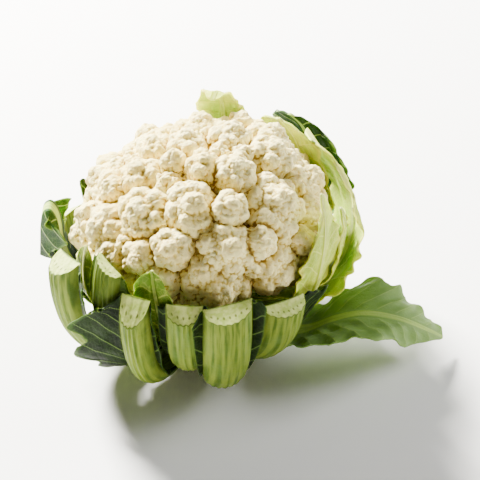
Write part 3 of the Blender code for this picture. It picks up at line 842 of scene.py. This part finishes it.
# %% Bend a sheet into a leaf
def leaf_points(leaf, u, v, outer):
    """The places of the sheet's points, and how far each is along the leaf, across it and beside its stalk.

    u runs from -1 to 1 across the leaf and v from 0 to 1 along it. outer says which points are on the
    outer face.
    """
    line, tangents, whole_length = bowl_curve(leaf["bowl"])
    stalk = smooth_through(leaf["stalk_width"], v) * MM / 2
    depth = smooth_through(leaf["stalk_depth"], v) * MM
    blade = np.maximum(smooth_through(leaf["blade_width"], v) * MM / 2, stalk + 0.6 * MM)
    side, size = np.sign(u), np.abs(u)
    reach = blade * (1 - side * leaf["lopsided"]) + stalk * side * leaf["lopsided"]
    inside = size <= 0.5
    out = np.clip((size - 0.5) / 0.5, 0, 1)
    angle = math.tau * leaf["waves"] * v + leaf["phase"] + np.where(side > 0, 1.1, 0)
    scallop = 1 - leaf["notch"] * (0.5 + 0.5 * np.sin(2.7 * angle + side)) * out
    around_edge = v * whole_length * leaf["reach"] / MM + 40 * side
    teeth = np.abs(np.sin(around_edge / 2.9 + 0.8 * np.sin(around_edge / 7)))
    teeth = teeth + 0.5 * np.sin(around_edge / 5.3)
    scallop = scallop - leaf["teeth"] * teeth * out**5
    across = side * np.where(inside, stalk * size * 2, stalk + (reach - stalk) * out * scallop)
    bulge = np.sqrt(1 - (0.97 * np.minimum(size * 2, 1)) ** 2)
    rib_thickness = BLADE_THICKNESS + (depth - BLADE_THICKNESS) * bulge
    thick = np.where(inside, rib_thickness, BLADE_THICKNESS * (1 - 0.3 * out))
    beside = np.maximum(np.abs(across) - stalk, 0)
    slope = leaf["flare"] + leaf["droop"] * step_up(v, 0.58, 0.76)
    lift = slope * beside + leaf["wave"] * MM * out * v * (1 + np.sin(angle))
    ruffle = np.sin(around_edge / 2.1 + 1.5 * np.sin(around_edge / 8))
    lift = lift + leaf["frill"] * MM * out**4 * (1 + ruffle) * step_up(v, 0.3, 0.6)
    along = v * leaf["reach"] * whole_length
    off = lift + thick * outer + relief(leaf, along, across, stalk, inside, outer) * step_up(v, 0, 0.12)
    back = leaf["round_tip"] * step_up(v, 0.55, 1) * size**3
    at = np.clip((v - back) * leaf["reach"], 0, 1) * (len(line) - 1)
    i = np.minimum(at.astype(int), len(line) - 2)
    t = (at - i)[:, None]
    place = line[i] * (1 - t) + line[i + 1] * t
    tangent = tangents[i] * (1 - t) + tangents[i + 1] * t
    outward = np.stack([tangent[:, 1], -tangent[:, 0]], axis=1)
    drop = leaf["cut_slope"] * off + leaf["cut_slant"] * across + leaf["wing_drop"] * beside
    ragged = np.sin(across / (2.6 * MM) + leaf["azimuth"]) + 0.6 * np.sin(across / (1.1 * MM))
    drop = drop + leaf["torn"] * MM * (1 + ragged) * step_up(beside, 0, 2 * MM)
    drop = drop * np.clip((v - 1) / leaf["strip"] + 1, 0, 1)
    place = place + outward * off[:, None] - tangent * drop[:, None]
    curl = place[:, 0] * (1 + leaf["flatness"] * v)
    forward = place[:, 0] - curl + curl * np.cos(across / curl)
    sideways = curl * np.sin(across / curl)
    swing = np.radians(leaf["azimuth"] + leaf["lean"] * v**2)
    x = forward * np.cos(swing) - sideways * np.sin(swing)
    y = forward * np.sin(swing) + sideways * np.cos(swing)
    return np.stack([x, y, place[:, 1]], axis=1), along, across, beside * side


STALK_COLUMNS = 26
GRID_STEP = 1.1 * MM


def make_leaf(leaf):
    """Extrudes a grid once, bends it into the leaf, and stores what the material needs."""
    whole_length = bowl_curve(leaf["bowl"])[2] * leaf["reach"]
    widest = max(leaf["blade_width"]) * MM / 2 * (1 + abs(leaf["lopsided"]))
    narrowest = min(leaf["stalk_width"][2:]) * MM / 2
    blade_columns = max(8, round((widest - narrowest) / GRID_STEP))
    columns = STALK_COLUMNS + 2 * blade_columns
    rows = round(whole_length / GRID_STEP)
    bpy.ops.object.select_all(action="DESELECT")
    bpy.ops.mesh.primitive_grid_add(x_subdivisions=columns, y_subdivisions=rows, size=1)
    piece = bpy.context.object
    piece.name = leaf["name"] + "_sheet"
    set_mode("EDIT")
    bpy.ops.mesh.select_all(action="SELECT")
    bpy.ops.mesh.extrude_region_move(TRANSFORM_OT_translate={"value": (0, 0, 1)})
    set_mode("OBJECT")
    flat = read_vectors(piece.data, "co")
    column = (flat[:, 0] + 0.5) * columns - columns / 2
    half_stalk = STALK_COLUMNS / 2
    inside = np.abs(column) <= half_stalk
    on_blade = (np.abs(column) - half_stalk) / blade_columns
    u = np.where(inside, column / half_stalk * 0.5, np.sign(column) * (0.5 + 0.5 * on_blade))
    outer = flat[:, 2] > 0.5
    points, along, across, beside = leaf_points(leaf, u, flat[:, 1] + 0.5, outer)
    piece.data.vertices.foreach_set("co", points.astype(np.float32).ravel())
    set_mode("EDIT")
    bpy.ops.mesh.select_all(action="SELECT")
    bpy.ops.mesh.normals_make_consistent(inside=False)
    set_mode("OBJECT")
    ends = flat[:, 1] > 0.5 - 1e-4
    cut = [all(ends[i] for i in polygon.vertices) for polygon in piece.data.polygons]
    stored = {"along": along, "across": across, "beside": beside, "spread": 2 * np.abs(u), "outer": outer}
    for name, values in stored.items():
        store_values(piece.data, name, values)
    store_values(piece.data, "tint", np.full(len(along), leaf["tint"]))
    store_values(piece.data, "cut", cut, "FACE")
    bpy.ops.object.shade_smooth_by_angle(angle=math.radians(50))
    return piece


leaf_pieces = [(leaf, make_leaf(leaf)) for leaf in LEAVES]
leaf_triangles = sum(2 * len(piece.data.polygons) for _, piece in leaf_pieces)
print(len(leaf_pieces), "leaves,", leaf_triangles, "triangles")

# %% [markdown]
# ## Leaf materials
#
# Two node groups hold what all the leaves share. One draws the side veins and a fine net of smaller ones,
# and the other the rind and the fibre bundles of a cut face. They read how far each point is along its leaf,
# across it and beside its stalk, so the marks follow the leaf wherever it bends.


# %% Veins as a node group
def math_node(tree, operation, first, second=0.0):
    node = add_node(tree, "ShaderNodeMath", operation=operation)
    for socket, value in zip(node.inputs, (first, second)):
        feed(tree, socket, value)
    return node.outputs[0]


def new_group(name, inputs, outputs):
    """A node group of plain numbers, with its input node and its output node."""
    group = bpy.data.node_groups.new(name, "ShaderNodeTree")
    for word in (*inputs, *outputs):
        way = "INPUT" if word in inputs else "OUTPUT"
        group.interface.new_socket(word, in_out=way, socket_type="NodeSocketFloat")
    return group, add_node(group, "NodeGroupInput"), add_node(group, "NodeGroupOutput")


def make_vein_group():
    """Along and Beside in; masks for the side veins and for the net of small veins out."""
    group, given, result = new_group("leaf veins", ("Along", "Beside"), ("Veins", "Net"))
    maths = partial(math_node, group)
    along, signed = given.outputs["Along"], given.outputs["Beside"]
    beside = maths("ABSOLUTE", signed)
    shifted = maths("ADD", along, maths("MULTIPLY", maths("GREATER_THAN", signed), VEIN_SHIFT))
    wave_along = maths("SINE", maths("DIVIDE", shifted, WANDER_LENGTHS[0]))
    wave_beside = maths("SINE", maths("ADD", maths("DIVIDE", beside, WANDER_LENGTHS[1]), 2.0))
    wander = [maths("MULTIPLY", wave, VEIN_WANDER[i]) for i, wave in enumerate((wave_along, wave_beside))]
    climb = maths("SUBTRACT", shifted, maths("MULTIPLY", beside, VEIN_SLOPE))
    phase = maths("ADD", maths("DIVIDE", climb, VEIN_SPACING), maths("ADD", *wander))
    off_vein = maths("ABSOLUTE", maths("SUBTRACT", phase, maths("ROUND", phase)))
    width = maths("MAXIMUM", maths("SUBTRACT", 0.065, maths("MULTIPLY", beside, 1.3)), 0.022)
    line = maths("SUBTRACT", 1.0, maths("DIVIDE", off_vein, width))
    group.links.new(maths("MAXIMUM", line, 0.0), result.inputs["Veins"])
    flat = add_node(group, "ShaderNodeCombineXYZ")
    plug(group, flat, X=signed, Y=along)
    cells = add_node(group, "ShaderNodeTexVoronoi", feature="DISTANCE_TO_EDGE")
    plug(group, cells, Vector=flat.outputs["Vector"], Scale=360.0)
    group.links.new(ranged(group, cells.outputs["Distance"], 0.01, 0.08, 1.0, 0.0), result.inputs["Net"])
    return group


vein_group = make_vein_group()


# %% A cut face as a node group
BUNDLE_SPACING = 3.4 * MM


def make_cut_group():
    """Across and Outer in; masks for the rind of a cut stalk and for the dots of its fibre bundles out."""
    group, given, result = new_group("cut stalk", ("Across", "Outer"), ("Rind", "Bundles"))
    maths = partial(math_node, group)
    places = maths("DIVIDE", given.outputs["Across"], BUNDLE_SPACING)
    sideways = maths("SUBTRACT", places, maths("ROUND", places))
    inwards = maths("MULTIPLY", maths("SUBTRACT", given.outputs["Outer"], 0.62), 2.6)
    distance = maths("SQRT", maths("ADD", *(maths("MULTIPLY", part, part) for part in (sideways, inwards))))
    group.links.new(ranged(group, distance, 0.10, 0.28, 1.0, 0.0), result.inputs["Bundles"])
    off_middle = maths("ABSOLUTE", maths("SUBTRACT", given.outputs["Outer"], 0.5))
    group.links.new(ranged(group, off_middle, 0.40, 0.49), result.inputs["Rind"])
    return group


cut_group = make_cut_group()

# %% Leaf material
CUT_FACE = (0.35, 0.45, 0.085, 1)
CUT_FACE_PALE = (0.54, 0.61, 0.18, 1)
STALK_FOOT = (0.60, 0.66, 0.38, 1)


def shade_of(colour, factor):
    return tuple(factor * part for part in colour[:3]) + (1,)


def leaf_material(
    name, stalk, stripe, blade, blade_deep, tinted, vein, edge, net=0.08, rib_share=0.97, thin=0.15,
    painted_light_end=0.0,
):
    """A leaf's finish from its own colours.

    tinted is the blade's colour where the tint is 1, net the strength of the net of small veins,
    rib_share how much of the stalk's width stays pale, thin how much light the blade lets through, and
    the last argument how strongly painted light makes the blade paler towards its end.
    """
    made, tree, shader = new_material(name)
    maths = partial(math_node, tree)
    where = add_node(tree, "ShaderNodeTexCoord").outputs["Object"]
    stored = ("along", "across", "beside", "spread", "tint")
    along, across, beside, spread, tint = (attribute(tree, word) for word in stored)
    veins = add_node(tree, "ShaderNodeGroup", node_tree=vein_group)
    plug(tree, veins, Along=along, Beside=beside)
    blade_tone = mixed(tree, ranged(tree, noise(tree, where, 55), 0.36, 0.66), blade, blade_deep)
    # Painted light: from 75 to 135 mm along the leaf, the blade is painted towards the pale vein colour, as
    # if lit there from behind.
    blade_tone = mixed(tree, ranged(tree, along, 0.075, 0.135, 0.0, painted_light_end), blade_tone, vein)
    blade_tone = mixed(tree, ranged(tree, spread, 1.82, 2.0, 0.0, 0.6), blade_tone, edge)
    blade_tone = mixed(tree, tint, blade_tone, tinted)
    lengthwise = add_node(tree, "ShaderNodeCombineXYZ")
    plug(tree, lengthwise, X=across, Y=maths("MULTIPLY", along, 0.06))
    streaks = noise(tree, lengthwise.outputs["Vector"], 430)
    stalk_tone = mixed(tree, ranged(tree, streaks, 0.40, 0.64), stalk, stripe)
    pale_parts = ranged(tree, noise(tree, where, 70), 0.45, 0.75, 0.0, 0.45)
    stalk_tone = mixed(tree, pale_parts, stalk_tone, shade_of(vein, 1.15))
    stalk_tone = mixed(tree, ranged(tree, along, 0.0, 0.045, 0.8, 0.0), stalk_tone, STALK_FOOT)
    part_tint = maths("MULTIPLY", tint, 0.5)
    stalk_tone = mixed(tree, part_tint, stalk_tone, tinted)
    tone = mixed(tree, ranged(tree, spread, rib_share, rib_share + 0.14), stalk_tone, blade_tone)
    on_blade = ranged(tree, spread, 0.98, 1.05)
    vein_tone = mixed(tree, part_tint, vein, tinted)
    small_veins = maths("MULTIPLY", veins.outputs["Net"], net)
    tone = mixed(tree, maths("MULTIPLY", small_veins, on_blade), tone, vein_tone)
    tone = mixed(tree, maths("MULTIPLY", veins.outputs["Veins"], on_blade), tone, vein_tone)
    cut = add_node(tree, "ShaderNodeGroup", node_tree=cut_group)
    plug(tree, cut, Across=across, Outer=attribute(tree, "outer"))
    face = mixed(tree, ranged(tree, noise(tree, where, 300, 4), 0.35, 0.65), CUT_FACE, CUT_FACE_PALE)
    face = mixed(tree, maths("MULTIPLY", cut.outputs["Bundles"], 0.75), face, stripe)
    face = mixed(tree, cut.outputs["Rind"], face, stripe)
    on_stalk = ranged(tree, spread, 1.0, 1.06, 1.0, 0.0)
    tone = mixed(tree, maths("MULTIPLY", attribute(tree, "cut"), on_stalk), tone, face)
    bump = add_node(tree, "ShaderNodeBump")
    height = maths("ADD", noise(tree, where, 520, 2), maths("MULTIPLY", streaks, 1.5))
    height = maths("SUBTRACT", height, maths("MULTIPLY", small_veins, 3.0))
    plug(tree, bump, Strength=0.4, Distance=0.0006, Height=height)
    rough = ranged(tree, noise(tree, where, 90), 0.3, 0.7, 0.48, 0.64)
    plug(tree, shader, Base_Color=tone, Normal=bump.outputs["Normal"], Roughness=rough)
    plug(tree, shader, Specular_IOR_Level=0.07, Subsurface_Weight=thin)
    plug(tree, shader, Subsurface_Radius=(0.8, 1.0, 0.2), Subsurface_Scale=0.003)
    return made


leaf_finishes = {
    # Partly the stubs' own darker green and partly painted shade: the stalks and blades of the cut leaves
    # are painted much darker than the other leaves', as if they lay in shade low round the head.
    "cut_leaf": leaf_material(
        "cut leaf",
        stalk=(0.165, 0.220, 0.026, 1), stripe=(0.055, 0.098, 0.009, 1),
        blade=(0.007, 0.018, 0.002, 1), blade_deep=(0.002, 0.006, 0.001, 1),
        tinted=(0.040, 0.075, 0.004, 1), vein=(0.09, 0.15, 0.03, 1),
        edge=(0.06, 0.12, 0.02, 1),
    ),
    "outer_leaf": leaf_material(
        "dark leaf",
        stalk=(0.38, 0.49, 0.10, 1), stripe=(0.22, 0.34, 0.045, 1),
        blade=(0.020, 0.060, 0.007, 1), blade_deep=(0.007, 0.026, 0.003, 1),
        tinted=(0.15, 0.245, 0.065, 1), vein=(0.28, 0.38, 0.11, 1),
        edge=(0.14, 0.26, 0.04, 1),
        rib_share=0.55,
    ),
    "wrapper_leaf": leaf_material(
        "light green leaf",
        stalk=(0.55, 0.66, 0.18, 1), stripe=(0.40, 0.54, 0.09, 1),
        blade=(0.42, 0.55, 0.045, 1), blade_deep=(0.26, 0.40, 0.02, 1),
        tinted=(0.12, 0.24, 0.02, 1), vein=(0.64, 0.72, 0.16, 1),
        edge=(0.74, 0.74, 0.07, 1),
        # The last setting paints the blade's end paler, as painted light.
        net=0.35, rib_share=0.5, thin=0.5, painted_light_end=0.95,
    ),
    "inner_leaf": leaf_material(
        "pale young leaf",
        stalk=(0.58, 0.64, 0.19, 1), stripe=(0.38, 0.48, 0.08, 1),
        blade=(0.40, 0.48, 0.04, 1), blade_deep=(0.23, 0.33, 0.018, 1),
        tinted=(0.085, 0.15, 0.009, 1), vein=(0.56, 0.60, 0.11, 1),
        edge=(0.72, 0.70, 0.10, 1),
        # The last setting paints the blade's end paler, as painted light.
        net=0.35, rib_share=0.5, thin=0.4, painted_light_end=0.4,
    ),
}
for leaf, piece in leaf_pieces:
    wear_material(piece, leaf_finishes[leaf["kind"]])
    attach(piece, "root")
    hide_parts(leaf["name"])

# %% [markdown]
# ## Stem
#
# The stump under the head keeps the model's shape. Its cut face shows a pale pith, a darker ring of
# fibres and a green rind, which follow the distance from the stem's axis.

# %% Stem
STEM_RADIUS = 24 * MM
STEM_RINGS = (  # share of the radius, colour
    (0.0, (0.80, 0.82, 0.62, 1)),
    (0.62, (0.76, 0.78, 0.52, 1)),
    (0.70, (0.58, 0.64, 0.36, 1)),
    (0.78, (0.80, 0.82, 0.60, 1)),
    (0.95, (0.52, 0.60, 0.28, 1)),
)

stem_skin, tree, shader = new_material("stem")
where = add_node(tree, "ShaderNodeTexCoord").outputs["Object"]
split = add_node(tree, "ShaderNodeSeparateXYZ")
tree.links.new(where, split.inputs["Vector"])
flat = add_node(tree, "ShaderNodeCombineXYZ")
plug(tree, flat, X=split.outputs["X"], Y=split.outputs["Y"])
distance = add_node(tree, "ShaderNodeVectorMath", operation="LENGTH")
tree.links.new(flat.outputs["Vector"], distance.inputs[0])
fibres = noise(tree, where, 300, 4)
ring = add_node(tree, "ShaderNodeValToRGB")
ring.color_ramp.elements[0].color = STEM_RINGS[0][1]
ring.color_ramp.elements[1].position = STEM_RINGS[-1][0]
ring.color_ramp.elements[1].color = STEM_RINGS[-1][1]
for position, colour in STEM_RINGS[1:-1]:
    ring.color_ramp.elements.new(position).color = colour
spread = math_node(tree, "DIVIDE", distance.outputs["Value"], STEM_RADIUS)
spread = math_node(tree, "ADD", spread, math_node(tree, "MULTIPLY", fibres, 0.08))
tree.links.new(math_node(tree, "SUBTRACT", spread, 0.04), ring.inputs["Fac"])
tone = mixed(tree, ranged(tree, fibres, 0.4, 0.8, 0.0, 0.35), ring.outputs["Color"], (0.62, 0.60, 0.36, 1))
bump = add_node(tree, "ShaderNodeBump")
plug(tree, bump, Strength=0.4, Distance=0.0006, Height=fibres)
plug(tree, shader, Base_Color=tone, Normal=bump.outputs["Normal"])
shader.inputs["Roughness"].default_value = 0.55
wear_material(frame["nodes"]["stem"], stem_skin)
